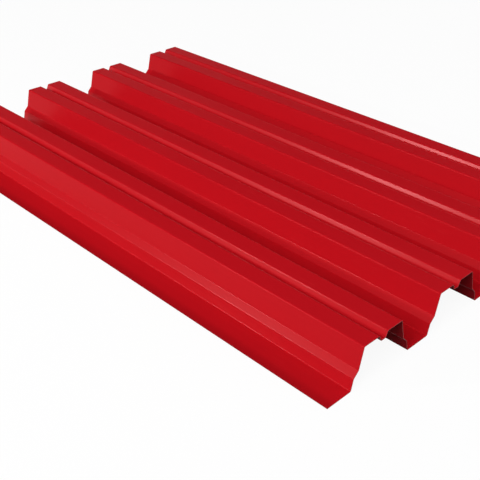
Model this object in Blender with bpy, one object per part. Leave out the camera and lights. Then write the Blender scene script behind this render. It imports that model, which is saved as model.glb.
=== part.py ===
"""Profiled steel sheet: one strip of painted steel, rolled into four crests that run its whole length.

The sheet lies on its valley floors with the painted face up, as it is stored and as it is laid on purlins.
X runs across the sheet, Y along the crests and Z up. The origin is the middle of the sheet at the level
of the surface it lies on. All sizes are in metres, and widths are taken between the sharp corners that
the folds of the painted face would have with no bend radius.
"""

import math

import bmesh
import bpy
from mathutils import Matrix, Vector

# The whole sheet
SHEET_LENGTH = 1.183
SHEET_HEIGHT = 0.070
CREST_PITCH = 0.1875
CREST_COUNT = 4

# The strip it is rolled from
STEEL = 0.0008
INNER_BEND_RADIUS = 0.002
BEND_STEPS = 6

# The crest, with the stiffening groove along the middle of its top
CREST_WIDTH = 0.089
GROOVE_MOUTH = 0.0197
GROOVE_FLOOR = 0.0100
GROOVE_DEPTH = 0.0107

# The web, with the step that stiffens it
WEB_LEAN = math.radians(13.2)
STEP_HEIGHT = 0.0203
STEP_RISE = 0.0100
STEP_RUN = 0.0099

# Colour of the paint
PAINT = (0.47, 0.007, 0.013, 1.0)
PAINT_ROUGHNESS = 0.3


def crest_corners():
    """The folds of one crest, left to right, measured from its middle and from the valley's painted face."""
    top = SHEET_HEIGHT - STEEL
    lean = math.tan(WEB_LEAN)
    upper_fold = STEP_HEIGHT + STEP_RISE
    upper_x = CREST_WIDTH / 2 + (top - upper_fold) * lean
    lower_x = upper_x + STEP_RUN
    foot_x = lower_x + STEP_HEIGHT * lean
    right = [
        (GROOVE_FLOOR / 2, top - GROOVE_DEPTH),
        (GROOVE_MOUTH / 2, top),
        (CREST_WIDTH / 2, top),
        (upper_x, upper_fold),
        (lower_x, STEP_HEIGHT),
        (foot_x, 0.0),
    ]
    left = [(-x, z) for x, z in reversed(right)]
    return [Vector(corner) for corner in left + right]


def sheet_corners():
    """All folds of the painted face, from the left free edge to the right one."""
    crest = crest_corners()
    valley = CREST_PITCH - 2 * crest[-1].x
    corners = []
    for number in range(CREST_COUNT):
        middle = (number - (CREST_COUNT - 1) / 2) * CREST_PITCH
        corners += [Vector((middle + corner.x, STEEL + corner.y)) for corner in crest]
    left_edge = Vector((corners[0].x - valley, STEEL))
    right_edge = Vector((corners[-1].x + valley, STEEL))
    return [left_edge, *corners, right_edge]


def left_normal(direction):
    """The painted side of a stretch of the strip that runs in this direction."""
    return Vector((-direction.y, direction.x)).normalized()


def bend(before, fold, after):
    """Stations round one fold: points of the painted face, each with the way that face looks there."""
    arriving = (fold - before).normalized()
    leaving = (after - fold).normalized()
    turn = math.atan2(arriving.cross(leaving), arriving.dot(leaving))
    hollow = turn > 0
    radius = INNER_BEND_RADIUS if hollow else INNER_BEND_RADIUS + STEEL
    start = fold - arriving * radius * math.tan(abs(turn) / 2)
    normal = left_normal(arriving)
    centre = start + normal * (radius if hollow else -radius)
    stations = []
    for step in range(BEND_STEPS + 1):
        rotation = Matrix.Rotation(turn * step / BEND_STEPS, 2)
        stations.append((centre + rotation @ (start - centre), rotation @ normal))
    return stations


def sheet_stations():
    """Every station of the rolled strip, from one free edge to the other."""
    corners = sheet_corners()
    stations = [(corners[0], left_normal(corners[1] - corners[0]))]
    for before, fold, after in zip(corners, corners[1:], corners[2:]):
        stations += bend(before, fold, after)
    stations.append((corners[-1], left_normal(corners[-1] - corners[-2])))
    return stations


def clear_scene():
    for item in list(bpy.data.objects):
        bpy.data.objects.remove(item, do_unlink=True)


def paint():
    material = bpy.data.materials.new("red_coil_paint")
    material.use_nodes = True
    shader = material.node_tree.nodes["Principled BSDF"]
    shader.inputs["Base Color"].default_value = PAINT
    shader.inputs["Roughness"].default_value = PAINT_ROUGHNESS
    shader.inputs["Metallic"].default_value = 0.0
    return material


def profiled_sheet():
    """The near end of the strip is drawn first, thickness and all, then drawn out to the sheet's length."""
    body = bmesh.new()
    ends = []
    for point, normal in sheet_stations():
        reverse = point - normal * STEEL
        painted_vertex = body.verts.new((point.x, -SHEET_LENGTH / 2, point.y))
        reverse_vertex = body.verts.new((reverse.x, -SHEET_LENGTH / 2, reverse.y))
        ends.append((painted_vertex, reverse_vertex))
    for (paint_a, back_a), (paint_b, back_b) in zip(ends, ends[1:]):
        body.faces.new((paint_a, back_a, back_b, paint_b))
    drawn = bmesh.ops.extrude_face_region(body, geom=body.faces[:])
    moved = [item for item in drawn["geom"] if isinstance(item, bmesh.types.BMVert)]
    bmesh.ops.translate(body, verts=moved, vec=(0.0, SHEET_LENGTH, 0.0))
    bmesh.ops.recalc_face_normals(body, faces=body.faces[:])
    mesh = bpy.data.meshes.new("profiled_sheet")
    body.to_mesh(mesh)
    body.free()
    mesh.shade_smooth()
    mesh.set_sharp_from_angle(angle=math.radians(30))
    mesh.materials.append(paint())
    sheet = bpy.data.objects.new("profiled_sheet", mesh)
    bpy.context.scene.collection.objects.link(sheet)
    return sheet


clear_scene()
profiled_sheet()
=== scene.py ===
import math

import bmesh
import bpy
from mathutils import Euler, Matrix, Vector


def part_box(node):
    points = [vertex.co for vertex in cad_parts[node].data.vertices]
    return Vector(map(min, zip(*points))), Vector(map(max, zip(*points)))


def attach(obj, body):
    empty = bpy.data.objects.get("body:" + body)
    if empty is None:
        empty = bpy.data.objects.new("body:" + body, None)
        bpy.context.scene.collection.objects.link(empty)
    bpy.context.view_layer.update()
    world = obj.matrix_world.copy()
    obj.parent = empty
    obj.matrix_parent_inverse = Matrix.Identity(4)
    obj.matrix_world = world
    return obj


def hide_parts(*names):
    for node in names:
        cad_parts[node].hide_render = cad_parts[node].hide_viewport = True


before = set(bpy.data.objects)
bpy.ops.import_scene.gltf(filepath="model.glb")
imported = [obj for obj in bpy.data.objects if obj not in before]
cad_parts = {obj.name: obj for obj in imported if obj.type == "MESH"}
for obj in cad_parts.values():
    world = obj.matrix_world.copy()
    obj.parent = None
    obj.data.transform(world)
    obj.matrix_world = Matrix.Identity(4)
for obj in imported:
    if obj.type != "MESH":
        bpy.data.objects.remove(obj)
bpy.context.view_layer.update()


# The profiled sheet: one strip of galvanised steel with a baked coat of red paint, run flat through a line
# of rollers that fold it into crests, grooves and stepped webs, then sheared square at both ends.
# It lies loose on its valley floors. Nothing is fixed to it.
STEEL = 0.0008
INNER_BEND_RADIUS = 0.002
FOLD_SEGMENTS = 8
SAME_EDGE, SAME_FOLD = 0.00001, 0.0001
WEB_LEAN = math.radians(13.2)
CREST_PITCH = 0.1875
CREST_COUNT = 4
STEP_RISE, STEP_RUN = 0.0100, 0.0099
LOWER_WEB_RISE = 0.0203
GROOVE_DEPTH, GROOVE_WALL_RUN = 0.0107, 0.00485
GROOVE_FLOOR = 0.0100
SHOULDER = 0.03465

low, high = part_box("profiled_sheet")
sheet_length = high.y - low.y
upper_web_rise = high.z - STEEL - LOWER_WEB_RISE - STEP_RISE
web_lean = math.tan(WEB_LEAN)
web_run = (LOWER_WEB_RISE + upper_web_rise) * web_lean + STEP_RUN
crest_foot = 2 * (web_run + SHOULDER + GROOVE_WALL_RUN) + GROOVE_FLOOR
valley_floor = CREST_PITCH - crest_foot

# The flat strip is drawn out fold by fold, and each move is the next stretch of the section.
to_groove = [
    (LOWER_WEB_RISE * web_lean, LOWER_WEB_RISE),
    (STEP_RUN, STEP_RISE),
    (upper_web_rise * web_lean, upper_web_rise),
    (SHOULDER, 0.0),
    (GROOVE_WALL_RUN, -GROOVE_DEPTH),
]
from_groove = [(run, -rise) for run, rise in reversed(to_groove)]
crest_moves = [*to_groove, (GROOVE_FLOOR, 0.0), *from_groove, (valley_floor, 0.0)]

bpy.ops.object.select_all(action="DESELECT")
bpy.ops.mesh.primitive_plane_add(size=1.0, location=(low.x + valley_floor / 2, 0.0, STEEL))
sheet = bpy.context.object
sheet.name = "red_profiled_sheet"
sheet.data.name = "red_profiled_sheet"
sheet.scale = (valley_floor, sheet_length, 1.0)
bpy.ops.object.transform_apply(location=True, rotation=True, scale=True)


def pick_edges(mesh_object, wanted):
    """Selects the edges along the sheet whose place in the section passes the test, and nothing else."""
    bpy.ops.mesh.select_all(action="DESELECT")
    bpy.ops.mesh.select_mode(type="EDGE")
    mesh = bmesh.from_edit_mesh(mesh_object.data)
    for edge in mesh.edges:
        start, end = (vertex.co for vertex in edge.verts)
        if abs(start.y - end.y) > sheet_length / 2 and wanted(start.x):
            edge.select_set(True)
    bmesh.update_edit_mesh(mesh_object.data)


bpy.ops.object.mode_set(mode="EDIT")
edge_x = low.x + valley_floor
for number in range(CREST_COUNT):
    for run, rise in crest_moves:
        pick_edges(sheet, lambda x: abs(x - edge_x) < SAME_EDGE)
        bpy.ops.mesh.extrude_edges_move(TRANSFORM_OT_translate={"value": (run, 0.0, rise)})
        edge_x += run

# Each fold is rounded to its bend radius. A fold that bulges towards the paint is wider by the thickness of
# the steel.
lean_turn = math.pi / 2 - WEB_LEAN
step_turn = lean_turn - math.atan2(STEP_RISE, STEP_RUN)
groove_turn = math.atan2(GROOVE_DEPTH, GROOVE_WALL_RUN)
shoulder_x = SHOULDER + GROOVE_WALL_RUN + GROOVE_FLOOR / 2
upper_x = shoulder_x + upper_web_rise * web_lean
folds = [
    (crest_foot / 2, lean_turn, 0.0),
    (upper_x + STEP_RUN, step_turn, STEEL),
    (upper_x, step_turn, 0.0),
    (shoulder_x, lean_turn, STEEL),
    (GROOVE_WALL_RUN + GROOVE_FLOOR / 2, groove_turn, STEEL),
    (GROOVE_FLOOR / 2, groove_turn, 0.0),
]
crest_middles = [(number - (CREST_COUNT - 1) / 2) * CREST_PITCH for number in range(CREST_COUNT)]
for out, turn, bulge in folds:
    pick_edges(sheet, lambda x: any(abs(abs(x - middle) - out) < SAME_FOLD for middle in crest_middles))
    bpy.ops.mesh.bevel(
        offset_type="OFFSET",
        offset=(INNER_BEND_RADIUS + bulge) * math.tan(turn / 2),
        segments=FOLD_SEGMENTS,
        profile=0.5,
        affect="EDGES",
    )
bpy.ops.object.mode_set(mode="OBJECT")

# Where each point lay in the flat strip, for patterns that run along it, and which faces have the most gloss:
# "gloss" is 1 on the steps and the groove walls, and a little less round the foot of each web.
section = sorted({(round(point.co.x, 7), round(point.co.z, 7)) for point in sheet.data.vertices})
lengths = [math.dist(start, end) for start, end in zip(section, section[1:])]
across = {place: sum(lengths[:number]) for number, place in enumerate(section)}
strip_width = sum(lengths)
GLOSS_BORDER = 0.0005
FOOT_GLOSS = 0.6


def extra_gloss(place):
    """How much of the extra gloss this point of the section has, from 0 to 1."""
    out = min(abs(place[0] - middle) for middle in crest_middles)
    rise = place[1] - STEEL
    if out < shoulder_x - SHOULDER / 2:
        inside_wall = min(rise - high.z + STEEL + GROOVE_DEPTH, high.z - STEEL - rise)
        return min(max(inside_wall / GLOSS_BORDER, 0.0), 1.0)
    if rise > LOWER_WEB_RISE / 2:
        inside_step = min(rise - LOWER_WEB_RISE, LOWER_WEB_RISE + STEP_RISE - rise)
        return min(max(0.5 + inside_step / (2 * GLOSS_BORDER), 0.0), 1.0)
    if rise < LOWER_WEB_RISE / 4:
        return FOOT_GLOSS * min(rise / GLOSS_BORDER, 1.0)
    return 0.0


places = [(round(point.co.x, 7), round(point.co.z, 7)) for point in sheet.data.vertices]
sheet.data.attributes.new("strip", "FLOAT_VECTOR", "POINT")
sheet.data.attributes.new("gloss", "FLOAT", "POINT")
strip = sheet.data.attributes["strip"]
gloss = sheet.data.attributes["gloss"]
for point, place in zip(sheet.data.vertices, places):
    strip.data[point.index].vector = (across[place], point.co.y, 0.0)
    gloss.data[point.index].value = extra_gloss(place)


class Value:
    """A socket of a shader node. Plain arithmetic on it adds the Math nodes that work it out."""

    def __init__(self, tree, socket):
        self.tree = tree
        self.socket = socket

    def feed(self, socket):
        self.tree.links.new(self.socket, socket)

    def sum(self, operation, *values):
        return add_node(self.tree, "ShaderNodeMath", {"operation": operation}, values)

    def __add__(self, other):
        return self.sum("ADD", self, other)

    def __sub__(self, other):
        return self.sum("SUBTRACT", self, other)

    def __rsub__(self, other):
        return self.sum("SUBTRACT", other, self)

    def __mul__(self, other):
        return self.sum("MULTIPLY", self, other)

    __radd__ = __add__
    __rmul__ = __mul__


def add_node(tree, kind, settings, inputs, output=0):
    """Adds a node of a kind, sets it up, fills its sockets by name or in order, and gives one output back."""
    node = tree.nodes.new(kind)
    for name, setting in settings.items():
        setattr(node, name, setting)
    pairs = inputs.items() if isinstance(inputs, dict) else enumerate(inputs)
    for name, value in pairs:
        if isinstance(value, Value):
            value.feed(node.inputs[name])
        else:
            node.inputs[name].default_value = value
    return Value(tree, node.outputs[output])


def attribute(tree, name, output="Fac"):
    return add_node(tree, "ShaderNodeAttribute", {"attribute_name": name}, {}, output)


def noise(tree, vector, sizes, detail=2.0):
    """Noise from 0 to 1 whose spots are of the sizes given, in metres across and along the strip."""
    counts = (1.0 / sizes[0], 1.0 / sizes[1], 1.0)
    scaled = add_node(tree, "ShaderNodeVectorMath", {"operation": "MULTIPLY"}, (vector, counts))
    return add_node(tree, "ShaderNodeTexNoise", {}, {"Vector": scaled, "Scale": 1.0, "Detail": detail})


def ramp(tree, value, start, end):
    """Rises smoothly from 0 at one value to 1 at another."""
    inputs = {"Value": value, "From Min": start, "From Max": end}
    return add_node(tree, "ShaderNodeMapRange", {"interpolation_type": "SMOOTHSTEP"}, inputs)


def blend(tree, share, first, second):
    """Mixes two colours."""
    return add_node(tree, "ShaderNodeMix", {"data_type": "RGBA"}, {0: share, 6: first, 7: second}, 2)


def shade(tree, colour, gain):
    """A colour made lighter or darker."""
    return add_node(tree, "ShaderNodeVectorMath", {"operation": "SCALE"}, {"Vector": colour, "Scale": gain})


def bumps(tree, height, distance, normal=None):
    inputs = {"Height": height, "Distance": distance, "Strength": 1.0}
    if normal is not None:
        inputs["Normal"] = normal
    return add_node(tree, "ShaderNodeBump", {}, inputs)


def new_material(name):
    material = bpy.data.materials.new(name)
    material.use_nodes = True
    return material, material.node_tree, material.node_tree.nodes["Principled BSDF"]


# The baked coat: satin red paint with a fine orange peel, faint streaks along the strip, soft clouds in its
# tone and a few scuffs. It has more gloss on the steps and the groove walls, and is darker along the free
# edges. Sizes are across and along the strip.
PAINT_RED = (0.50, 0.0058, 0.0112)
SCUFF_RED = (0.60, 0.030, 0.036, 1.0)
PAINT_TONE, PAINT_ROUGHNESS = 0.97, 0.25
CLOUD_SIZE, SPECK_SIZE = (0.09, 0.16), (0.0032, 0.0032)
ROLLER_BAND_SIZE, ROLLER_STREAK_SIZE = (0.014, 0.9), (0.0016, 0.22)
SCUFF_FIELD_SIZE, SCUFF_SIZE, SCUFF_SHARE = (0.05, 0.12), (0.0012, 0.045), 0.35
ORANGE_PEEL_SIZE, ORANGE_PEEL_DEPTH = (0.0013, 0.0013), 0.000012
BUCKLE_SIZE, BUCKLE_DEPTH = (0.07, 0.24), 0.0006
EDGE_BAND_START, EDGE_BAND_END, EDGE_BAND_DARKENS = 0.003, 0.024, 0.26
FLAT_GLOSS, ADDED_GLOSS = 0.2, 0.6
paint, tree, shader = new_material("red_baked_paint")
place = attribute(tree, "strip", "Vector")
clouds = noise(tree, place, CLOUD_SIZE, 3.0)
roller_bands = noise(tree, place, ROLLER_BAND_SIZE)
roller_streaks = noise(tree, place, ROLLER_STREAK_SIZE)
speckle = noise(tree, place, SPECK_SIZE)
scuff_fields = ramp(tree, noise(tree, place, SCUFF_FIELD_SIZE), 0.52, 0.66)
scuffs = ramp(tree, noise(tree, place, SCUFF_SIZE, 1.0), 0.66, 0.72) * scuff_fields
strip_x = add_node(tree, "ShaderNodeSeparateXYZ", {}, {"Vector": place})
from_edge = strip_x.sum("MINIMUM", strip_x, strip_width - strip_x)
edge_band = 1 - ramp(tree, from_edge, EDGE_BAND_START, EDGE_BAND_END)
tone = PAINT_TONE + 0.05 * clouds + 0.03 * roller_bands + 0.02 * roller_streaks + 0.02 * speckle
tone = tone - EDGE_BAND_DARKENS * edge_band
colour = blend(tree, SCUFF_SHARE * scuffs, shade(tree, PAINT_RED, tone), SCUFF_RED)
colour.feed(shader.inputs["Base Color"])
dullness = PAINT_ROUGHNESS + 0.06 * clouds + 0.05 * roller_streaks + 0.16 * scuffs + 0.04 * edge_band
dullness.feed(shader.inputs["Roughness"])
sheen = FLAT_GLOSS + ADDED_GLOSS * attribute(tree, "gloss")
sheen.feed(shader.inputs["Coat Weight"])
orange_peel = noise(tree, place, ORANGE_PEEL_SIZE, 1.0)
buckles = noise(tree, place, BUCKLE_SIZE, 1.0)
waves = bumps(tree, buckles, BUCKLE_DEPTH)
relief = bumps(tree, orange_peel + 0.4 * roller_streaks - 0.8 * scuffs, ORANGE_PEEL_DEPTH, waves)
relief.feed(shader.inputs["Normal"])
shader.inputs["Metallic"].default_value = 0.05
shader.inputs["Specular IOR Level"].default_value = 0.01
shader.inputs["Coat IOR"].default_value = 1.38
shader.inputs["Coat Roughness"].default_value = 0.3

# The backing coat on the reverse: a duller coat of the same red, with faint streaks along the strip. Its red is
# painted much darker than the face paint, as painted shade for the reverse, which is seen only in shadow inside
# the crests.
SHADED_BACKING_RED = (0.21, 0.0050, 0.0080)
BACKING_TONE, BACKING_ROUGHNESS, BACKING_GRAIN_DEPTH = 0.90, 0.42, 0.00002
BACKING_CLOUD_SIZE, BACKING_SPECK_SIZE = (0.06, 0.20), (0.0024, 0.0024)
BACKING_STREAK_SIZE = (0.0025, 0.30)
backing, tree, shader = new_material("red_backing_coat")
place = attribute(tree, "strip", "Vector")
clouds = noise(tree, place, BACKING_CLOUD_SIZE, 3.0)
roller_streaks = noise(tree, place, BACKING_STREAK_SIZE)
speckle = noise(tree, place, BACKING_SPECK_SIZE)
tone = BACKING_TONE + 0.10 * clouds + 0.06 * roller_streaks + 0.04 * speckle
shade(tree, SHADED_BACKING_RED, tone).feed(shader.inputs["Base Color"])
dullness = BACKING_ROUGHNESS + 0.08 * clouds + 0.08 * roller_streaks
dullness.feed(shader.inputs["Roughness"])
bumps(tree, speckle + roller_streaks, BACKING_GRAIN_DEPTH).feed(shader.inputs["Normal"])
shader.inputs["Specular IOR Level"].default_value = 0.01

# The cut edge: sheared through paint and steel. It looks dark red and not bare, so most of its thickness has
# paint drawn over it, and the rest is a reddish steel.
REDDISH_STEEL = (0.20, 0.022, 0.024, 1.0)
TORN_STEEL = (0.10, 0.018, 0.018, 1.0)
DRAGGED_PAINT = (0.30, 0.0040, 0.0075, 1.0)
TEETH_PER_METRE, TEARS_PER_METRE, TEAR_DEPTH = 2600.0, 700.0, 0.00004
PAINT_ENDS = (0.62, 0.74)
TORN_BEGINS = (0.75, 0.95)
cut_edge, tree, shader = new_material("sheared_steel_edge")
through = attribute(tree, "through_steel")
spot = add_node(tree, "ShaderNodeTexCoord", {}, {}, "Object")
teeth = add_node(tree, "ShaderNodeTexNoise", {}, {"Vector": spot, "Scale": TEETH_PER_METRE, "Detail": 2.0})
tears = add_node(tree, "ShaderNodeTexNoise", {}, {"Vector": spot, "Scale": TEARS_PER_METRE, "Detail": 3.0})
depth = through + 0.30 * teeth - 0.15
painted_share = 1 - ramp(tree, depth, *PAINT_ENDS)
torn_share = ramp(tree, depth + 0.2 * tears, *TORN_BEGINS)
steel = blend(tree, torn_share, REDDISH_STEEL, TORN_STEEL)
blend(tree, painted_share, steel, DRAGGED_PAINT).feed(shader.inputs["Base Color"])
(0.5 - 0.5 * painted_share).feed(shader.inputs["Metallic"])
(0.44 + 0.20 * torn_share + 0.10 * tears).feed(shader.inputs["Roughness"])
bumps(tree, tears + teeth, TEAR_DEPTH).feed(shader.inputs["Normal"])

# The strip gets its steel under the painted face, and the three finishes their sides.
for material in (paint, backing, cut_edge):
    sheet.data.materials.append(material)
SMOOTH_UP_TO = math.radians(30)
painted_points = len(sheet.data.vertices)
thickness = sheet.modifiers.new("thickness", "SOLIDIFY")
thickness.thickness = STEEL
thickness.offset = -1.0
thickness.use_even_offset = True
thickness.material_offset = 1
thickness.material_offset_rim = 2
bpy.ops.object.modifier_apply(modifier="thickness")
through_steel = sheet.data.attributes.new("through_steel", "FLOAT", "POINT")
for point in sheet.data.vertices:
    through_steel.data[point.index].value = 0.0 if point.index < painted_points else 1.0
bpy.ops.object.shade_smooth_by_angle(angle=SMOOTH_UP_TO)
flats = sheet.modifiers.new("flats", "WEIGHTED_NORMAL")
flats.keep_sharp = True
flats.weight = 100
bpy.ops.object.modifier_apply(modifier="flats")

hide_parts("profiled_sheet")
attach(sheet, "root")


# The floor: plain and pale. To the eye, and in gloss, it shows as white with a trace of the sheet's shadow.
FLOOR_SIZE = 60.0
bpy.ops.object.select_all(action="DESELECT")
bpy.ops.mesh.primitive_plane_add(size=FLOOR_SIZE, location=(0.0, 0.0, 0.0))
floor = bpy.context.object
floor.name = "floor"

SEEN_WHITE = 0.92
SEEN_FLOOR = (0.95, 0.95, 0.95, 1.0)
BOUNCING_FLOOR = (0.30, 0.30, 0.30, 1.0)
STAGE_ROUGHNESS = 0.9


def stage_white(name, glow):
    """A white to the eye, to gloss and to glass, of which this share glows. It bounces little light."""
    material, tree, shader = new_material(name)
    rays = tree.nodes.new("ShaderNodeLightPath").outputs
    seen = Value(tree, rays["Is Camera Ray"]) + Value(tree, rays["Is Glossy Ray"])
    seen = seen + Value(tree, rays["Is Transmission Ray"])
    seen = seen.sum("MINIMUM", seen, 1.0)
    blend(tree, seen, BOUNCING_FLOOR, SEEN_FLOOR).feed(shader.inputs["Base Color"])
    shader.inputs["Roughness"].default_value = STAGE_ROUGHNESS
    shader.inputs["Specular IOR Level"].default_value = 0.0
    glowing = {"Color": (1.0, 1.0, 1.0, 1.0), "Strength": 1.0}
    white = add_node(tree, "ShaderNodeEmission", {}, glowing)
    plain = Value(tree, shader.outputs["BSDF"])
    mixed = add_node(tree, "ShaderNodeMixShader", {}, (glow * seen, plain, white))
    mixed.feed(tree.nodes["Material Output"].inputs["Surface"])
    return material


floor_white = stage_white("white_floor", SEEN_WHITE)
floor.data.materials.append(floor_white)

# The backdrop: a plain pale wall all round, far behind the lamps, so that a low view ends on white too.
WALL_RADIUS, WALL_HEIGHT, WALL_SIDES = 29.5, 7.0, 96
bpy.ops.object.select_all(action="DESELECT")
bpy.ops.mesh.primitive_cylinder_add(
    vertices=WALL_SIDES,
    radius=WALL_RADIUS,
    depth=WALL_HEIGHT,
    end_fill_type="NOTHING",
    location=(0.0, 0.0, WALL_HEIGHT / 2),
)
backdrop = bpy.context.object
backdrop.name = "backdrop"
bpy.ops.object.mode_set(mode="EDIT")
bpy.ops.mesh.select_all(action="SELECT")
bpy.ops.mesh.flip_normals()
bpy.ops.object.mode_set(mode="OBJECT")
backdrop_white = stage_white("white_backdrop", 1.0)
backdrop.data.materials.append(backdrop_white)


# The light: a small bright lamp low at the back left, soft boxes round the sheet, and a dim plain sky.
def soft_box(name, azimuth, elevation, distance, size, level):
    """A round soft lamp that faces the sheet. One at level 1 shows a surface that faces it as it is painted."""
    turn, lift = math.radians(azimuth), math.radians(elevation)
    way = Vector((math.cos(lift) * math.cos(turn), math.cos(lift) * math.sin(turn), math.sin(lift)))
    facing = way.to_track_quat("Z", "Y").to_euler()
    bpy.ops.object.light_add(type="AREA", location=way * distance, rotation=facing)
    lamp = bpy.context.object
    lamp.name = name
    lamp.data.shape = "DISK"
    lamp.data.size = size
    lamp.data.energy = level * (math.pi * distance) ** 2
    lamp.visible_camera = False
    return lamp


soft_box("key_lamp", azimuth=154.0, elevation=22.0, distance=2.6, size=0.16, level=0.25)
soft_box("left_box", azimuth=190.0, elevation=38.0, distance=10.0, size=5.0, level=0.45)
soft_box("high_box", azimuth=208.0, elevation=52.0, distance=10.0, size=6.0, level=0.28)
soft_box("front_left_box", azimuth=240.0, elevation=35.0, distance=10.0, size=5.0, level=0.18)
soft_box("front_box", azimuth=255.0, elevation=15.0, distance=10.0, size=3.5, level=0.12)
soft_box("right_box", azimuth=0.0, elevation=42.0, distance=14.0, size=6.0, level=0.18)
soft_box("front_right_box", azimuth=315.0, elevation=30.0, distance=14.0, size=6.0, level=0.11)
SKY_STRENGTH = 0.01
world = bpy.data.worlds.new("studio")
world.use_nodes = True
world.node_tree.nodes["Background"].inputs["Color"].default_value = (1.0, 1.0, 1.0, 1.0)
world.node_tree.nodes["Background"].inputs["Strength"].default_value = SKY_STRENGTH
bpy.context.scene.world = world


# The camera stands off the near left corner and looks down on the sheet.
CAMERA_PLACE = (-1.09315, -1.13106, 0.81358)
CAMERA_TURN = (58.4134, -0.0429, -44.0244)
CAMERA_LENS, CAMERA_SENSOR = 62.305, 36.0
bpy.ops.object.camera_add(location=CAMERA_PLACE, rotation=Euler(math.radians(turn) for turn in CAMERA_TURN))
camera = bpy.context.object
camera.data.lens = CAMERA_LENS
camera.data.sensor_width = CAMERA_SENSOR
bpy.context.scene.camera = camera
bpy.context.scene.view_settings.view_transform = "Standard"
